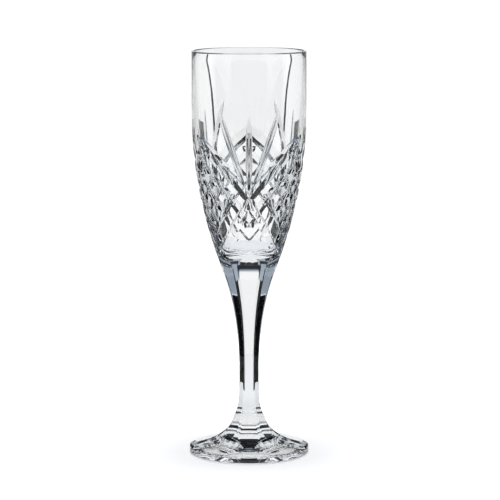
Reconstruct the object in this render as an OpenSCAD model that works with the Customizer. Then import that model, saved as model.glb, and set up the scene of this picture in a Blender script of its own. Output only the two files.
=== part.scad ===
// Pressed crystal champagne flute: a cut bowl, a six-sided stem and a panelled foot,
// three glass pieces that are joined hot, end to end.
// The axis is Z, the table is Z = 0 and the front is -Y. Angles of turn run from the front
// towards +X, so a turn of 0 is the front and a turn of 90 is the +X side.

/* [Overall] */
// Height from the table to the rim
flute_h = 210; // [205:1:216]
// Height of the joint between foot and stem
foot_joint_z = 19; // [18:0.5:20]
// Height of the joint between stem and bowl
bowl_joint_z = 100; // [99:0.5:101]

/* [Bowl] */
// Outer radius at the rim
rim_r = 29.5; // [29:0.1:31]
// Outer radius where the bowl meets the stem
joint_r = 15; // [14.5:0.1:15.5]
// Wall thickness at the rim
rim_wall = 1.6; // [1.4:0.1:1.8]
// Height of the straight band below the rim
band_h = 32; // [30:1:34]
// Thickness of the solid glass under the well
heel_h = 4.5; // [3.5:0.5:6]
// Inner radius at the foot of the well
well_r = 13.6; // [12.5:0.1:14]

/* [Fans of cuts] */
// How many fans stand round the bowl
fans = 3; // [2, 3]
// Height of a fan's lowest point
fan_foot_z = 139.5; // [138:0.5:141]
// Height of its highest
fan_top_z = 181; // [178:0.5:183]
// Depth of a ray at its middle
ray_depth = 1.1; // [0.8:0.1:1.2]
// Included angle of the cutting wheel's edge, in degrees
wheel_angle = 110; // [100:1:120]
// Turn round the bowl from one ray's top to the next, in degrees
ray_spread = 27; // [24:1:29]

/* [Stem] */
// Corner radius at the waist, the thinnest place
waist_r = 5.05; // [4.8:0.05:6]
// Height of the waist
waist_z = 42; // [39:1:45]
// Corner radius at the foot joint
stem_foot_r = 8; // [7.5:0.1:8.5]

/* [Foot] */
// Radius of the foot
foot_r = 31.2; // [30.5:0.1:33]
// Thickness of the foot's edge at the middle of a panel
foot_edge_h = 3.2; // [2.8:0.1:3.8]
// Radius of the hollow in the underside
hollow_r = 26; // [24:0.5:27]
// Depth of that hollow at the axis
hollow_h = 2.6; // [1.5:0.1:3.5]

/* [Hidden] */

$fn = 96;
glass = [0.86, 0.91, 0.93, 0.6];
clear = 2;

// ---- bowl ----
// Below the straight band the outside draws in as a parabola, and so does the bore.
shoulder_z = flute_h - band_h;
bowl_taper = (rim_r - joint_r) / pow(shoulder_z - bowl_joint_z, 2);
lip_r = rim_wall / 2;
bore_r = rim_r - rim_wall;
bore_band_z = flute_h - 14;
well_floor_z = bowl_joint_z + heel_h;
well_corner_h = 6;
well_top_z = well_floor_z + well_corner_h;
bore_taper = (bore_r - well_r) / pow(bore_band_z - well_top_z, 2);
curve_steps = 14;

function bowl_r(z) = z > shoulder_z ? rim_r : rim_r - bowl_taper * pow(shoulder_z - z, 2);
function well_wall_r(z) = bore_r - bore_taper * pow(bore_band_z - z, 2);

module bowl_blank() {
    outside = [for (i = [0:curve_steps])
        let (z = bowl_joint_z + (shoulder_z - bowl_joint_z) * i / curve_steps) [bowl_r(z), z]];
    lip = [for (a = [0:30:180])
        [rim_r - lip_r + lip_r * cos(a), flute_h - lip_r + lip_r * sin(a)]];
    bore = [for (i = [0:curve_steps])
        let (z = bore_band_z + (well_top_z - bore_band_z) * i / curve_steps) [well_wall_r(z), z]];
    well_floor = [for (a = [15:15:75])
        [well_r * cos(a), well_top_z - well_corner_h * sin(a)]];
    rotate_extrude()
        polygon(concat([[0, bowl_joint_z]], outside, lip, bore, well_floor, [[0, well_floor_z]]));
}

// The wheel is far larger than the glass, so a cut tapers to a point at both ends.
wheel_r = 170;
wheel_rim_h = 6;
hub_share = 0.08;

function on_bowl(turn, z) = [bowl_r(z) * sin(turn), -bowl_r(z) * cos(turn), z];
function unit(v) = v / norm(v);
function outward(p, along) = unit([p.x, p.y, 0] - ([p.x, p.y, 0] * along) * along);

// Cut left by the wheel's edge between two points of the outside
module wheel_cut(low, high, depth) {
    mid = (low + high) / 2;
    bulge = bowl_r(mid.z) - norm([mid.x, mid.y]);
    along = unit(high - low);
    out = outward(mid, along);
    axle = cross(along, out);
    centre = mid + (wheel_r + bulge - depth) * out;
    half_w = wheel_rim_h * tan(wheel_angle / 2);
    multmatrix([[along.x, out.x, axle.x, centre.x],
                [along.y, out.y, axle.y, centre.y],
                [along.z, out.z, axle.z, centre.z]])
        rotate_extrude()
            polygon([[wheel_r - wheel_rim_h, -half_w], [wheel_r, 0], [wheel_r - wheel_rim_h, half_w]]);
}

// The rays of a fan start close together at its foot and spread towards their tops.
module fan() {
    for (side = [-1:1])
        wheel_cut(on_bowl(side * ray_spread * hub_share, fan_foot_z),
                  on_bowl(side * ray_spread, fan_top_z), ray_depth);
}

module bowl() {
    color(glass)
        difference() {
            bowl_blank();
            for (i = [0:fans - 1])
                rotate([0, 0, i * 360 / fans])
                    fan();
        }
}

// ---- stem and foot ----
// Both are six-sided. A flat lies a little further out than a sharp hexagon's, which blunts the corners.
sides = 6;
flat_share = 0.885;
flare_power = 2.4;
root_power = 4.5;
stem_steps = 12;
foot_steps = 10;
shoulder_control = [10, 8];
edge_r = 1.1;

function stem_r(z) = z > waist_z
    ? waist_r + (joint_r - waist_r) * pow((z - waist_z) / (bowl_joint_z - waist_z), flare_power)
    : waist_r + (stem_foot_r - waist_r) * pow((waist_z - z) / (waist_z - foot_joint_z), root_power);

stem_heights = concat(
    [for (i = [0:stem_steps - 1]) foot_joint_z + (waist_z - foot_joint_z) * i / stem_steps],
    [for (i = [0:stem_steps]) waist_z + (bowl_joint_z - waist_z) * i / stem_steps]);

// The three pairs of opposite flats, each pair cut from the same outline seen edge on
module flats(outline, span) {
    mirrored = [for (i = [len(outline) - 1:-1:0]) [-outline[i].x, outline[i].y]];
    intersection_for (i = [0:sides / 2 - 1])
        rotate([90, 0, 90 + i * 360 / sides])
            translate([0, 0, -span])
                linear_extrude(height = 2 * span)
                    polygon(concat(outline, mirrored));
}

module stem() {
    color(glass)
        intersection() {
            flats([for (z = stem_heights) [flat_share * stem_r(z), z]], joint_r + clear);
            rotate_extrude()
                polygon(concat([[0, foot_joint_z]], [for (z = stem_heights) [stem_r(z), z]],
                               [[0, bowl_joint_z]]));
        }
}

function bend(a, b, c, t) = (1 - t) * (1 - t) * a + 2 * t * (1 - t) * b + t * t * c;

module foot() {
    top = [flat_share * stem_foot_r, foot_joint_z];
    rim = [foot_r, foot_edge_h];
    slope = [for (i = [foot_steps:-1:0]) bend(top, shoulder_control, rim, i / foot_steps)];
    edge = [for (a = [-90:30:0]) [foot_r - edge_r + edge_r * cos(a), edge_r + edge_r * sin(a)]];
    hollow_ball_r = (hollow_r * hollow_r + hollow_h * hollow_h) / (2 * hollow_h);
    color(glass)
        difference() {
            intersection() {
                flats(concat([[foot_r, 0]], slope), foot_r + clear);
                rotate_extrude()
                    polygon(concat([[0, 0]], edge, [[foot_r, foot_edge_h + clear],
                                   [stem_foot_r, foot_joint_z], [0, foot_joint_z]]));
            }
            translate([0, 0, hollow_h - hollow_ball_r])
                sphere(r = hollow_ball_r, $fn = 256);
        }
}

bowl();
stem();
foot();
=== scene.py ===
import math

import bmesh
import bpy
from mathutils import Matrix, Vector


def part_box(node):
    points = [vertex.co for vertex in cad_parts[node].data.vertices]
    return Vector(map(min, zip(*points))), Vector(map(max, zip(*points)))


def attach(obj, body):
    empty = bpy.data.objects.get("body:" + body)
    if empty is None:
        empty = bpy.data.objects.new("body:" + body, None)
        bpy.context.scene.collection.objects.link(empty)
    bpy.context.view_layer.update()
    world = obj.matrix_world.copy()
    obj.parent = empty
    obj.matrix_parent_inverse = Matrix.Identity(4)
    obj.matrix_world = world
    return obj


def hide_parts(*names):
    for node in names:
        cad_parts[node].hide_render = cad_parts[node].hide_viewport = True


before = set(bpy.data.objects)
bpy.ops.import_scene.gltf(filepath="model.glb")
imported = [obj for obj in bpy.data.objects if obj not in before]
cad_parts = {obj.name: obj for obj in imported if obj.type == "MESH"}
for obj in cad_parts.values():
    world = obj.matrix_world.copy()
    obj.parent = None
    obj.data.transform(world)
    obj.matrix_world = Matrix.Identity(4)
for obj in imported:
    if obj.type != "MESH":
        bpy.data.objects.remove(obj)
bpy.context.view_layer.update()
scene = bpy.context.scene
mm = 0.001
touch = 0.001 * mm      # closer than this counts as touching
flatTurn = 60           # degrees from one flat of the six-sided stem to the next

# heights and radii that the pieces share, all read from the frame
bowlLow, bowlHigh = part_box("bowl")
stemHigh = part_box("stem")[1]
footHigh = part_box("foot")[1]
rimZ = bowlHigh[2]
bowlJointZ = bowlLow[2]
footJointZ = footHigh[2]
rimRadius = bowlHigh[0]
bowlJointRadius = stemHigh[0]
footRadius = footHigh[0]

cameraSet = {
    "distance": 1.243,
    "height": 0.2838,
    "sideways": 0.0005,
    "pitch": 8.11,      # degrees below level
    "lens": 174.3,
}


def addCamera(s):
    data = bpy.data.cameras.new("camera")
    data.lens = s["lens"]
    data.sensor_width = 36
    data.clip_start = 0.01
    cam = bpy.data.objects.new("camera", data)
    cam.location = (s["sideways"], -s["distance"], s["height"])
    cam.rotation_euler = (math.radians(90 - s["pitch"]), 0, 0)
    scene.collection.objects.link(cam)
    scene.camera = cam


addCamera(cameraSet)
print("camera set")

glassSet = {
    "ior": 1.54,
    "sharpAngle": 26,           # an edge that turns further than this is a crisp one
    "clear": (0.992, 0.994, 0.994, 1),
    "cool": (0.966, 0.972, 0.976, 1),
    "cloudScale": 45,
    "rippleScale": 120,
    "rippleHeight": 0.006 * mm,
    "polish": (0.0, 0.018),     # roughness of the best and the worst polished spots
    "polishNoise": (0.45, 0.75),    # the noise's values there
    "polishScale": 420,
}


def addGlass(s):
    mat = bpy.data.materials.new("crystal")
    mat.use_nodes = True
    nodes = mat.node_tree.nodes
    link = mat.node_tree.links.new
    shader = nodes["Principled BSDF"]
    shader.inputs["IOR"].default_value = s["ior"]
    shader.inputs["Transmission Weight"].default_value = 1
    coords = nodes.new("ShaderNodeTexCoord")

    def cloud(scale, detail):
        noise = nodes.new("ShaderNodeTexNoise")
        noise.inputs["Scale"].default_value = scale
        noise.inputs["Detail"].default_value = detail
        link(coords.outputs["Object"], noise.inputs["Vector"])
        return noise.outputs["Fac"]

    tint = nodes.new("ShaderNodeMix")
    tint.data_type = "RGBA"
    tint.inputs["A"].default_value = s["clear"]
    tint.inputs["B"].default_value = s["cool"]
    link(cloud(s["cloudScale"], 2), tint.inputs["Factor"])
    link(tint.outputs["Result"], shader.inputs["Base Color"])
    polish = nodes.new("ShaderNodeMapRange")
    polish.inputs["From Min"].default_value, polish.inputs["From Max"].default_value = s["polishNoise"]
    polish.inputs["To Min"].default_value, polish.inputs["To Max"].default_value = s["polish"]
    link(cloud(s["polishScale"], 3), polish.inputs["Value"])
    link(polish.outputs["Result"], shader.inputs["Roughness"])
    ripple = nodes.new("ShaderNodeBump")
    ripple.inputs["Strength"].default_value = 1
    ripple.inputs["Distance"].default_value = s["rippleHeight"]
    link(cloud(s["rippleScale"], 1), ripple.inputs["Height"])
    link(ripple.outputs["Normal"], shader.inputs["Normal"])
    return mat


def addFusedFace():
    # for the faces where two pieces are fused, which light crosses as if they weren't there
    mat = bpy.data.materials.new("fused_joint")
    mat.use_nodes = True
    nodes = mat.node_tree.nodes
    nodes.remove(nodes["Principled BSDF"])
    clearFace = nodes.new("ShaderNodeBsdfTransparent")
    mat.node_tree.links.new(clearFace.outputs[0], nodes["Material Output"].inputs["Surface"])
    return mat


crystal = addGlass(glassSet)
fused = addFusedFace()
print("glass mixed")


def turnOf(co):
    # degrees round the glass from the front, -Y, towards +X
    return math.degrees(math.atan2(co.x, -co.y))


def onCircle(radius, turn, z):
    a = math.radians(turn)
    return Vector((radius * math.sin(a), -radius * math.cos(a), z))


def blend(a, b, t):
    return a + (b - a) * t


def steps(a, b, count):
    return [blend(a, b, i / count) for i in range(count + 1)]


def share(value, over):
    # how far a value has come from the first limit to the second, from 0 to 1
    start, end = over
    return min(max((value - start) / (end - start), 0), 1)


def bend(a, b, c, t):
    # quadratic curve from a to c, drawn towards b
    return blend(blend(a, b, t), blend(b, c, t), t)


def arc(centreR, centreZ, acrossR, acrossZ, angles):
    # part of an ellipse, as outline points; 0 degrees points away from the axis and 90 up
    turns = [math.radians(a) for a in angles]
    return [(centreR + acrossR * math.cos(a), centreZ + acrossZ * math.sin(a)) for a in turns]


def softMin(a, b, width):
    # the lower of two numbers, with the corner between them rounded over the width
    h = max(width - abs(a - b), 0) / width
    return min(a, b) - h * h * width / 4


def hexShare(turn):
    # a flat's distance from the axis over the outline's radius at this turn: 1 at a flat's middle,
    # and close to the stem's flatShare at a corner, which is softened
    off = abs((turn + flatTurn / 2) % flatTurn - flatTurn / 2)
    return -softMin(-math.cos(math.radians(off)), -stemSet["flatShare"], stemSet["cornerSoft"])


def widen(v, times):
    v.co.x *= times
    v.co.y *= times


def spinProfile(points, columns):
    # a closed piece of glass turned from an outline that starts and ends on the axis
    bm = bmesh.new()
    verts = [bm.verts.new((r, 0, z)) for r, z in points]
    edges = [bm.edges.new(pair) for pair in zip(verts, verts[1:])]
    bmesh.ops.spin(bm, geom=verts + edges, cent=(0, 0, 0), axis=(0, 0, 1), dvec=(0, 0, 0),
                   angle=math.tau, steps=columns, use_merge=True, use_duplicate=False)
    bmesh.ops.remove_doubles(bm, verts=bm.verts, dist=touch)
    bmesh.ops.recalc_face_normals(bm, faces=bm.faces)
    return bm


def finishPiece(bm, name, node, fusedHeights):
    # glass in the first slot, and the faces at the fused heights in the second
    for face in bm.faces:
        face.smooth = True
        face.material_index = 0
        for z in fusedHeights:
            if all(abs(v.co.z - z) < touch for v in face.verts):
                face.material_index = 1
    mesh = bpy.data.meshes.new(name)
    bm.to_mesh(mesh)
    bm.free()
    mesh.materials.append(crystal)
    mesh.materials.append(fused)
    mesh.set_sharp_from_angle(angle=math.radians(glassSet["sharpAngle"]))
    piece = bpy.data.objects.new(name, mesh)
    scene.collection.objects.link(piece)
    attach(piece, "root")
    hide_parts(node)
    return piece


stemSet = {
    "waistRadius": 5.05 * mm,   # at a corner, as the other radii are
    "waistZ": 42 * mm,
    "footRadius": 8 * mm,       # at the foot joint
    "flarePower": 2.4,          # how late the stem widens above the waist, and below it
    "rootPower": 4.5,
    "flatShare": 0.92,          # a flat's distance from the axis over a corner's
    "cornerSoft": 0.012,
    "columns": 180,
    "rows": 110,
}


def stemRadius(z):
    s = stemSet
    if z > s["waistZ"]:
        t = (z - s["waistZ"]) / (bowlJointZ - s["waistZ"])
        return blend(s["waistRadius"], bowlJointRadius, t ** s["flarePower"])
    t = (s["waistZ"] - z) / (s["waistZ"] - footJointZ)
    return blend(s["waistRadius"], s["footRadius"], t ** s["rootPower"])


def stemFlat(z):
    return stemRadius(z) * stemSet["flatShare"]


def addStem(s):
    bottom = stemFlat(footJointZ)
    top = stemFlat(bowlJointZ)
    pts = [(0, footJointZ), (bottom / 2, footJointZ)]
    pts += [(stemFlat(z), z) for z in steps(footJointZ, bowlJointZ, s["rows"])]
    pts += [(top * 2 / 3, bowlJointZ), (top / 3, bowlJointZ), (0, bowlJointZ)]
    bm = spinProfile(pts, s["columns"])
    for v in bm.verts:
        widen(v, 1 / hexShare(turnOf(v.co)))
    return finishPiece(bm, "stem_glass", "stem", [footJointZ, bowlJointZ])


stem = addStem(stemSet)
print("stem made")

footSet = {
    "edgeHeight": 3.2 * mm,     # at the middle of a panel
    "edgeRound": 1.1 * mm,      # under the edge
    "edgeDrop": 0.5 * mm,       # a narrow bevel along the edge: how far down and how far in
    "edgeIn": 0.3 * mm,
    "hollowRadius": 26 * mm,
    "hollowHeight": 2.6 * mm,
    "hollowRows": 30,
    "bendRadius": 9.6 * mm,     # the point that the panels' curve is drawn towards
    "bendHeight": 7 * mm,
    "roundPower": 3,            # how soon the six-sided outline of the joint turns round
    "columns": 360,
    "rows": 60,
    "rowPower": 0.8,            # rows get closer towards the edge
}


def footHeight(d):
    # height of a panel's surface at a distance from the axis, measured square to the panel
    s = footSet
    inner = stemFlat(footJointZ)
    a = inner - 2 * s["bendRadius"] + footRadius
    b = 2 * (s["bendRadius"] - inner)
    t = (-b + math.sqrt(b * b - 4 * a * (inner - d))) / (2 * a)
    return bend(footJointZ, s["bendHeight"], s["edgeHeight"], min(t, 1))


def footOutline(s):
    # from the axis over the hollow, round the edge and up a panel's middle to the joint
    inner = stemFlat(footJointZ)
    ballRadius = (s["hollowRadius"] ** 2 + s["hollowHeight"] ** 2) / (2 * s["hollowHeight"])
    ballZ = s["hollowHeight"] - ballRadius
    hollow = steps(0, s["hollowRadius"], s["hollowRows"])
    pts = [(r, ballZ + math.sqrt(ballRadius ** 2 - r * r)) for r in hollow]
    rnd = s["edgeRound"]
    pts += arc(footRadius - rnd, rnd, rnd, rnd, range(-90, 1, 15))
    pts.append((footRadius, s["edgeHeight"] - s["edgeDrop"]))
    radii = [blend(footRadius - s["edgeIn"], inner, t ** s["rowPower"]) for t in steps(0, 1, s["rows"])]
    pts += [(r, footHeight(r)) for r in radii]
    return pts + [(inner / 2, footJointZ), (0, footJointZ)]


def addFoot(s):
    bm = spinProfile(footOutline(s), s["columns"])
    inner = stemFlat(footJointZ)
    for v in bm.verts:
        r = math.hypot(v.co.x, v.co.y)
        if v.co.z < s["edgeHeight"] - s["edgeDrop"] - touch or r < touch:
            continue
        flat = hexShare(turnOf(v.co))
        if v.co.z > footJointZ - touch:
            widen(v, 1 / flat)
        elif r > footRadius - touch:
            v.co.z = footHeight(r * flat) - s["edgeDrop"]
        else:
            # rows near the joint start from the six-sided outline, and the edge stays round
            near = (footRadius - r) / (footRadius - inner)
            times = blend(1, 1 / flat, near ** s["roundPower"])
            widen(v, times)
            v.co.z = footHeight(r * times * flat)
    return finishPiece(bm, "foot_glass", "foot", [footJointZ])


foot = addFoot(footSet)
print("foot made")

bowlSet = {
    "bandHeight": 32 * mm,      # straight band below the rim
    "lipWall": 1.3 * mm,
    "wallGain": 1.7 * mm,       # how much thicker the wall gets below the lip
    "wallReach": 24 * mm,
    "baseFrom": 50 * mm,        # below this much depth the wall thickens again
    "baseGain": 2 * mm,
    "heel": 4.5 * mm,           # solid glass under the well
    "wellCorner": 6 * mm,
    "archTop": 4.6 * mm,        # how far the stem's flats run up the heel
    "archSlope": 0.364,         # how far they lean out, for each step up
    "archZone": 6 * mm,         # closer rows reach to this height above the joint
    "archRows": 18,
    "wallRows": 72,
    "bandRows": 8,
    "columns": 288,
}
shoulderZ = rimZ - bowlSet["bandHeight"]
bowlTaper = (rimRadius - bowlJointRadius) / (shoulderZ - bowlJointZ) ** 2


def bowlRadius(z):
    return rimRadius - bowlTaper * max(shoulderZ - z, 0) ** 2


def boreRadius(z):
    s = bowlSet
    down = rimZ - z
    baseSpan = rimZ - bowlJointZ - s["heel"] - s["wellCorner"] - s["baseFrom"]
    wall = s["lipWall"] + s["wallGain"] * (1 - math.exp(-down / s["wallReach"]))
    return bowlRadius(z) - wall - s["baseGain"] * (max(down - s["baseFrom"], 0) / baseSpan) ** 2


def bowlOutline(s):
    # from the axis at the joint, up the outside, over the lip and down to the floor of the well
    lip = s["lipWall"] / 2
    lipZ = rimZ - lip
    floorZ = bowlJointZ + s["heel"]
    wellTop = floorZ + s["wellCorner"]
    zoneTop = bowlJointZ + s["archZone"]
    pts = [(0, bowlJointZ), (bowlJointRadius / 3, bowlJointZ), (bowlJointRadius * 2 / 3, bowlJointZ)]
    pts += [(bowlRadius(z), z) for z in steps(bowlJointZ, zoneTop, s["archRows"])[:-1]]
    pts += [(bowlRadius(z), z) for z in steps(zoneTop, shoulderZ, s["wallRows"])]
    pts += [(rimRadius, z) for z in steps(shoulderZ, lipZ, s["bandRows"])[1:-1]]
    pts += arc(rimRadius - lip, lipZ, lip, lip, range(0, 181, 15))
    pts += [(boreRadius(z), z) for z in steps(lipZ, wellTop, s["wallRows"])[1:]]
    pts += arc(0, wellTop, boreRadius(wellTop), -s["wellCorner"], range(6, 90, 6))
    return pts + [(0, floorZ)]


def heelFlat(rise):
    # how far from the axis a stem flat is at this height above the joint; it runs out at archTop
    slope = bowlSet["archSlope"]
    top = bowlSet["archTop"]
    start = stemFlat(bowlJointZ)
    curve = (bowlRadius(bowlJointZ + top) - start - slope * top) / top ** 2
    return start + slope * rise + curve * rise * rise


def addBowl(s):
    bm = spinProfile(bowlOutline(s), s["columns"])
    for v in bm.verts:
        rise = v.co.z - bowlJointZ
        r = math.hypot(v.co.x, v.co.y)
        full = bowlRadius(v.co.z)
        onOutside = r > full - 10 * touch or rise < touch
        if r > touch and rise < s["archZone"] and onOutside:
            widen(v, min(heelFlat(rise) / hexShare(turnOf(v.co)), full) / full)
    bowl = finishPiece(bm, "bowl_glass", "bowl", [bowlJointZ])
    cutBowl(bowl)
    return bowl


cutSet = {
    "repeats": 3,               # of a fan and the leaf beside it
    "edgeFloor": 0.2 * mm,      # the wheel's edge is blunt: half its width, and how far that rises
    "edgeRise": 0.08 * mm,
    "clear": 1.5 * mm,          # how far a cutter stands out of the glass
    # two arms cross under each fan; half angles are between a cut's side and its middle plane
    "crossZ": 136.2 * mm,
    "armRise": 0.6 * mm,        # for each degree of turn, and how much less with each further one
    "armRiseBend": 0.0018 * mm,
    "armFall": 0.76 * mm,
    "armFallBend": 0.0046 * mm,
    "armDepth": 2.15 * mm,
    "armHalfAngle": 59,
    "armTip": 0.75,             # share of the depth left at a leaf's tip
    "legDepth": 0.55,           # and below the crossing
    "legLean": 24,              # degrees that the wheel leans over there
    "tipOver": (50, 60),        # turns from the crossing over which each of the three comes in
    "legOver": (25, 0),
    "leanOver": (5, -10),
    "rayDepth": 1.5 * mm,
    "rayHalfAngle": 47,
    "rayFloor": 0.7 * mm,       # half the width of a ray's shallow floor
    "rayRise": 0.45 * mm,
    "raySpread": 32,            # turn from the middle ray's top to the next ray's
    "rayFootShare": 0.1,        # of that turn, at the rays' feet
    "rayFootZ": 139 * mm,
    "rayTops": (183 * mm, 179.5 * mm, 183 * mm),
    "rayFade": (-0.2, 3.5),     # the depth's share at the ends, and how late it starts to fall
    "diamonds": 5,              # along a leaf's side
    "diamondDepth": 1.7 * mm,
    "diamondHalfAngle": 57,
    "diamondInset": 0.055,      # share of a lattice line left out at each end, beside the arm
    "diamondFade": (-0.3, 7),
    "lineSteps": 16,            # along a ray or a lattice line
    "armSteps": 24,
}
leafHalf = 180 / cutSet["repeats"]      # degrees from a fan's middle to a leaf's


def armHeight(t):
    # t degrees from the crossing, less than 0 below it
    s = cutSet
    if t > 0:
        return s["crossZ"] + s["armRise"] * t - s["armRiseBend"] * t * t
    return s["crossZ"] + s["armFall"] * t + s["armFallBend"] * t * t


def cutterFrame(points, i):
    # X across the cut, Y along it, Z out of the glass
    here = points[i]
    along = (points[min(i + 1, len(points) - 1)] - points[max(i - 1, 0)]).normalized()
    out = Vector((here.x, here.y, 0))
    out = (out - out.dot(along) * along).normalized()
    across = along.cross(out)
    return Matrix.Translation(here) @ Matrix((across, along, out)).transposed().to_4x4()


def vCutter(path, depths, halfAngle, floor, rise, leans=None):
    # a V-shaped bar that follows the path of (turn, height) along the outside, dipping in by each depth;
    # its floor is flatter over this half width, and rises by so much towards its edges
    points = [onCircle(bowlRadius(z), turn, z) for turn, z in path]
    clear = cutSet["clear"]
    deepest = max(depths)
    wide = floor + (deepest - rise + clear) * math.tan(math.radians(halfAngle))
    low = rise - deepest
    section = [(-wide, clear), (-floor, low), (0, -deepest), (floor, low), (wide, clear)]

    def placeAt(i):
        lean = Matrix.Rotation(leans[i] if leans else 0, 4, "Y")
        return cutterFrame(points, i) @ lean @ Matrix.Translation((0, 0, deepest - depths[i]))

    bm = bmesh.new()
    place = placeAt(0)
    face = bm.faces.new([bm.verts.new(place @ Vector((x, 0, z))) for x, z in section])
    for i in range(1, len(points)):
        grown = bmesh.ops.extrude_face_region(bm, geom=[face])["geom"]
        verts = [g for g in grown if isinstance(g, bmesh.types.BMVert)]
        nextPlace = placeAt(i)
        bmesh.ops.transform(bm, matrix=nextPlace @ place.inverted(), verts=verts)
        old = face
        face = next(g for g in grown if isinstance(g, bmesh.types.BMFace))
        if i > 1:
            # the first face closes the bar's end, and the later ones would lie inside it
            bmesh.ops.delete(bm, geom=[old], context="FACES_ONLY")
        place = nextPlace
    bmesh.ops.recalc_face_normals(bm, faces=bm.faces)
    return bm


def wheelDepths(count, deepest, fade):
    # deepest in the middle, as a round wheel cuts
    endShare, power = fade
    return [deepest * (1 - (1 - endShare) * abs(2 * i / (count - 1) - 1) ** power) for i in range(count)]


def armCutter(side, fan):
    # from a leaf's tip down through the crossing to the next leaf's foot
    s = cutSet
    path = []
    depths = []
    leans = []
    for t in steps(leafHalf, -leafHalf, s["armSteps"]):
        path.append((fan + side * t, armHeight(t)))
        tipDepth = blend(1, s["armTip"], share(t, s["tipOver"]))
        legDepth = blend(1, s["legDepth"], share(t, s["legOver"]))
        depths.append(s["armDepth"] * tipDepth * legDepth)
        leans.append(-side * math.radians(s["legLean"]) * share(t, s["leanOver"]))
    return vCutter(path, depths, s["armHalfAngle"], s["edgeFloor"], s["edgeRise"], leans)


def rayCutter(ray, top, fan):
    s = cutSet
    path = [(fan + ray * s["raySpread"] * blend(s["rayFootShare"], 1, t), blend(s["rayFootZ"], top, t))
            for t in steps(0, 1, s["lineSteps"])]
    depths = wheelDepths(len(path), s["rayDepth"], s["rayFade"])
    return vCutter(path, depths, s["rayHalfAngle"], s["rayFloor"], s["rayRise"])


def diamondCutter(across, side, leaf):
    # a line of the lattice, this part of the way from one side of the leaf to the opposite one
    s = cutSet
    path = []
    for t in steps(s["diamondInset"], 1 - s["diamondInset"], s["lineSteps"]):
        up = leafHalf * t
        turn = blend(up - leafHalf, up, across)
        path.append((leaf + side * turn, blend(armHeight(up), armHeight(up - leafHalf), across)))
    depths = wheelDepths(len(path), s["diamondDepth"], s["diamondFade"])
    return vCutter(path, depths, s["diamondHalfAngle"], s["edgeFloor"], s["edgeRise"])


def bowlCutters():
    s = cutSet
    cutters = []
    for k in range(s["repeats"]):
        fan = k * 360 / s["repeats"]
        leaf = fan + leafHalf
        cutters += [armCutter(side, fan) for side in (-1, 1)]
        cutters += [rayCutter(ray, top, fan) for ray, top in zip((-1, 0, 1), s["rayTops"])]
        for line in range(1, s["diamonds"]):
            cutters += [diamondCutter(line / s["diamonds"], side, leaf) for side in (-1, 1)]
    return cutters


def cutBowl(bowl):
    cutters = []
    for bm in bowlCutters():
        mesh = bpy.data.meshes.new("cutter")
        bm.to_mesh(mesh)
        bm.free()
        cutter = bpy.data.objects.new("cutter", mesh)
        scene.collection.objects.link(cutter)
        mod = bowl.modifiers.new("cut", "BOOLEAN")
        mod.operation = "DIFFERENCE"
        mod.solver = "MANIFOLD"
        mod.object = cutter
        cutters.append(cutter)
    bpy.context.view_layer.update()
    graph = bpy.context.evaluated_depsgraph_get()
    cut = bpy.data.meshes.new_from_object(bowl.evaluated_get(graph))
    bowl.modifiers.clear()
    bm = bmesh.new()
    bm.from_mesh(cut)
    # tiny edges are left where cuts meet
    bmesh.ops.dissolve_degenerate(bm, edges=bm.edges[:], dist=touch)
    bm.to_mesh(cut)
    bm.free()
    cut.set_sharp_from_angle(angle=math.radians(glassSet["sharpAngle"]))
    old = bowl.data
    bowl.data = cut
    bpy.data.meshes.remove(old)
    for cutter in cutters:
        mesh = cutter.data
        bpy.data.objects.remove(cutter)
        bpy.data.meshes.remove(mesh)


bowl = addBowl(bowlSet)
print("bowl cut,", len(bowl.data.polygons), "faces")

studioSet = {
    "tableWidth": 1.8,
    "tableFront": -0.7,
    "tableBack": 0.35,
    "tableDrop": 0.1 * mm,      # below the foot, so that the two don't touch
    # brightness of the glowing table near the glass and away from it, and the distances between which it
    # changes: first as the camera sees it, a painted shadow round the foot, then as the glass shows it,
    # a painted pool of light under the glass that is darker further out
    "tablePaintedShadowGlow": (0.53, 1.04),
    "tablePaintedShadowOver": (0, 0.16),
    "tablePaintedGlowInGlass": (0.78, 0.5),
    "tablePaintedGlowInGlassOver": (0.03, 0.045),
    # black cards, alike on both sides, give cut glass its dark facets: standing ones behind the glass
    # and at its side, as from, to and height, and ones that only show in solid glass
    "cardBack": 0.137,
    "cardSide": 0.155,
    "backCards": [(0.036, 0.05, 0.125), (0.05, 0.076, 0.157), (0.076, 0.096, 0.15)],
    "sideCards": [(0.04, 0.096, 0.13)],
    "stemCards": [(0.096, 0.155, 0.118)],
    "floorCard": (0.121, 0.3, 0.03),    # one lying on the table: from and to across, and its front
    "floorCardLift": 0.5 * mm,
    "wallCrossings": 3.5,       # light that has gone in and out of more glass than this passes them
    # white walls of the light tent, alike on both sides: from and to, in degrees of turn from straight
    # behind, from and to in degrees above level, brightness, and how soft the upright edges are
    "panels": [
        (-9, 4.75, -90, 15, 1.0, 0.06),
        (5.25, 20, -90, 13.5, 0.94, 0.06),
        (19, 100, -90, 12, 0.82, 1),
        (11, 100, 11, 34, 0.5, 0.06),
        (100, 190, -4, 60, 0.12, 1),
        (129, 141, -36, -9.5, 0.9, 1),
        (-9, 190, 74, 100, 0.6, 0.06),
    ],
    "levelSoft": 1.5,           # how soft the level edges are
    # colours of the tent's brightnesses, from the dark room to white
    "tones": [
        (0, (0.004, 0.006, 0.01, 1)),
        (1, (1, 1, 1, 1)),
        (0.5, (0.43, 0.49, 0.57, 1)),
        (0.8, (0.79, 0.8, 0.8, 1)),
    ],
    "whiteLevel": 1.1,          # as seen through the bowl's walls
    "solidLevel": 0.96,         # as seen in solid glass, with no more crossings than the next
    "solidCrossings": 2.5,
    "backdrop": 1.02,           # as the camera sees it directly
    "lampSize": 1.2,
    "lampHeight": 1.5,
    "lampPower": 8,
    "gamma": 0.8,
}


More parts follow.
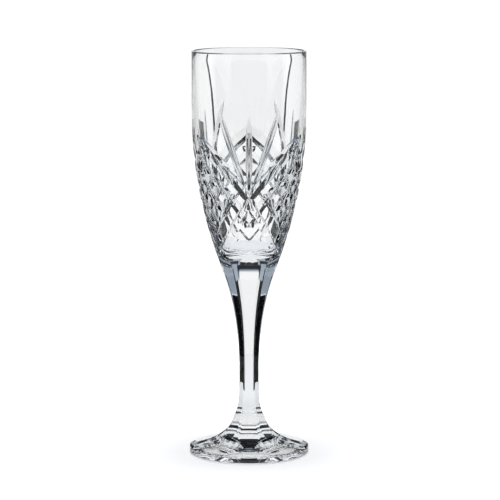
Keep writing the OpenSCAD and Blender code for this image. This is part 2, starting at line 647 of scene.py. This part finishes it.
def flatPiece(name, sheets):
    # one mesh of separate four-cornered sheets
    bm = bmesh.new()
    for corners in sheets:
        bm.faces.new([bm.verts.new(co) for co in corners])
    mesh = bpy.data.meshes.new(name)
    bm.to_mesh(mesh)
    bm.free()
    piece = bpy.data.objects.new(name, mesh)
    scene.collection.objects.link(piece)
    return piece


def lyingSheet(left, right, front, back, z):
    return [(left, front, z), (right, front, z), (right, back, z), (left, back, z)]


def standingSheet(ends, top):
    return [(x, y, 0) for x, y in ends] + [(x, y, top) for x, y in reversed(ends)]


def addTable(s):
    across = s["tableWidth"] / 2
    top = lyingSheet(-across, across, s["tableFront"], s["tableBack"], -s["tableDrop"])
    table = flatPiece("table", [top])
    mat = bpy.data.materials.new("table")
    mat.use_nodes = True
    nodes = mat.node_tree.nodes
    link = mat.node_tree.links.new
    shader = nodes["Principled BSDF"]
    shader.inputs["Base Color"].default_value = (0.9, 0.9, 0.9, 1)
    shader.inputs["Roughness"].default_value = 0.6
    shader.inputs["Specular IOR Level"].default_value = 0
    shader.inputs["Emission Color"].default_value = (1, 1, 1, 1)
    coords = nodes.new("ShaderNodeTexCoord")
    away = nodes.new("ShaderNodeVectorMath")
    away.operation = "LENGTH"
    link(coords.outputs["Object"], away.inputs[0])

    # paints light and shade into the table's glow by distance from the glass
    def paintedShadeByDistance(levels, over, smooth):
        glow = nodes.new("ShaderNodeMapRange")
        if smooth:
            glow.interpolation_type = "SMOOTHSTEP"
        glow.inputs["From Min"].default_value, glow.inputs["From Max"].default_value = over
        glow.inputs["To Min"].default_value, glow.inputs["To Max"].default_value = levels
        link(away.outputs["Value"], glow.inputs["Value"])
        return glow.outputs["Result"]

    # camera rays see the painted shadow round the foot, rays through the glass see the painted pool of
    # light
    path = nodes.new("ShaderNodeLightPath")
    pick = nodes.new("ShaderNodeMix")
    link(path.outputs["Is Camera Ray"], pick.inputs["Factor"])
    link(paintedShadeByDistance(s["tablePaintedGlowInGlass"], s["tablePaintedGlowInGlassOver"], False), pick.inputs["A"])
    link(paintedShadeByDistance(s["tablePaintedShadowGlow"], s["tablePaintedShadowOver"], True), pick.inputs["B"])
    link(pick.outputs["Result"], shader.inputs["Emission Strength"])
    table.data.materials.append(mat)


def cardBlack(name, crossings):
    mat = bpy.data.materials.new(name)
    mat.use_nodes = True
    nodes = mat.node_tree.nodes
    link = mat.node_tree.links.new
    shader = nodes["Principled BSDF"]
    shader.inputs["Base Color"].default_value = (0.002, 0.003, 0.005, 1)
    shader.inputs["Roughness"].default_value = 0.9
    shader.inputs["Specular IOR Level"].default_value = 0
    if crossings:
        path = nodes.new("ShaderNodeLightPath")
        many = nodes.new("ShaderNodeMath")
        many.operation = "GREATER_THAN"
        many.inputs[1].default_value = crossings
        link(path.outputs["Transmission Depth"], many.inputs[0])
        past = nodes.new("ShaderNodeBsdfTransparent")
        pick = nodes.new("ShaderNodeMixShader")
        link(many.outputs[0], pick.inputs[0])
        link(shader.outputs[0], pick.inputs[1])
        link(past.outputs[0], pick.inputs[2])
        link(pick.outputs[0], nodes["Material Output"].inputs["Surface"])
    return mat


def addCards(s):
    # hidden from the camera, they only show through the glass
    back = s["cardBack"]
    sheets = []
    stemSheets = []
    for side in (-1, 1):
        wide = side * s["cardSide"]
        sheets += [standingSheet([(side * low, back), (side * high, back)], top)
                   for low, high, top in s["backCards"]]
        sheets += [standingSheet([(wide, low), (wide, high)], top) for low, high, top in s["sideCards"]]
        stemSheets += [standingSheet([(side * low, back), (side * high, back)], top)
                       for low, high, top in s["stemCards"]]
        low, high, front = s["floorCard"]
        stemSheets.append(lyingSheet(side * low, side * high, front, back, s["floorCardLift"]))
    kinds = (("cards", sheets, None), ("stem_cards", stemSheets, s["wallCrossings"]))
    for name, corners, crossings in kinds:
        cards = flatPiece(name, corners)
        cards.visible_camera = False
        cards.visible_diffuse = False
        cards.visible_shadow = False
        cards.data.materials.append(cardBlack(name, crossings))


def addWorld(s):
    world = bpy.data.worlds.new("studio")
    world.use_nodes = True
    tree = world.node_tree
    tree.nodes.clear()
    link = tree.links.new

    def node(kind, **settings):
        n = tree.nodes.new(kind)
        for key, value in settings.items():
            setattr(n, key, value)
        return n

    def calc(op, a, b=None, clamped=False):
        n = node("ShaderNodeMath", operation=op, use_clamp=clamped)
        for slotIndex, value in enumerate((a, b)):
            if value is None:
                continue
            if isinstance(value, (int, float)):
                n.inputs[slotIndex].default_value = value
            else:
                link(value, n.inputs[slotIndex])
        return n.outputs[0]

    def between(value, low, high, soft):
        # 1 between the limits and 0 outside, with soft edges
        up = calc("DIVIDE", calc("SUBTRACT", value, low), soft)
        down = calc("DIVIDE", calc("SUBTRACT", high, value), soft)
        return calc("MINIMUM", calc("ADD", up, 0.5), calc("ADD", down, 0.5), clamped=True)

    coords = node("ShaderNodeTexCoord")
    axes = node("ShaderNodeSeparateXYZ")
    link(coords.outputs["Generated"], axes.inputs[0])
    turn = calc("MULTIPLY", calc("ARCTAN2", axes.outputs["X"], axes.outputs["Y"]), 180 / math.pi)
    rise = calc("MULTIPLY", calc("ARCSINE", axes.outputs["Z"]), 180 / math.pi)
    off = calc("ABSOLUTE", turn)
    level = 0
    for turnLow, turnHigh, riseLow, riseHigh, bright, soft in s["panels"]:
        across = between(off, turnLow, turnHigh, soft)
        upward = between(rise, riseLow, riseHigh, s["levelSoft"])
        level = calc("MAXIMUM", level, calc("MULTIPLY", calc("MULTIPLY", across, upward), bright))
    ramp = node("ShaderNodeValToRGB")
    stops = ramp.color_ramp.elements
    for i, (place, colour) in enumerate(s["tones"]):
        # a new ramp already has the first two
        stop = stops[i] if i < 2 else stops.new(place)
        stop.color = colour
    link(level, ramp.inputs["Fac"])

    path = node("ShaderNodeLightPath")
    thin = calc("GREATER_THAN", path.outputs["Transmission Depth"], s["solidCrossings"])
    glow = node("ShaderNodeBackground")
    link(ramp.outputs["Color"], glow.inputs["Color"])
    more = calc("MULTIPLY", thin, s["whiteLevel"] - s["solidLevel"])
    link(calc("ADD", more, s["solidLevel"]), glow.inputs["Strength"])
    white = node("ShaderNodeBackground")
    white.inputs["Color"].default_value = (1, 1, 1, 1)
    white.inputs["Strength"].default_value = s["backdrop"]
    pick = node("ShaderNodeMixShader")
    link(path.outputs["Is Camera Ray"], pick.inputs[0])
    link(glow.outputs[0], pick.inputs[1])
    link(white.outputs[0], pick.inputs[2])
    out = node("ShaderNodeOutputWorld")
    link(pick.outputs[0], out.inputs["Surface"])
    scene.world = world


def addLamp(s):
    data = bpy.data.lights.new("overhead", "AREA")
    data.shape = "SQUARE"
    data.size = s["lampSize"]
    data.energy = s["lampPower"]
    lamp = bpy.data.objects.new("overhead", data)
    lamp.location = (0, 0, s["lampHeight"])
    lamp.visible_glossy = False
    lamp.visible_transmission = False
    scene.collection.objects.link(lamp)


def setView(s):
    scene.view_settings.view_transform = "Standard"
    scene.view_settings.gamma = s["gamma"]
    scene.cycles.max_bounces = 24
    scene.cycles.transmission_bounces = 24
    scene.cycles.glossy_bounces = 12
    scene.cycles.transparent_max_bounces = 24
    scene.cycles.caustics_refractive = True


addTable(studioSet)
addCards(studioSet)
addWorld(studioSet)
addLamp(studioSet)
setView(studioSet)
print("studio lit")
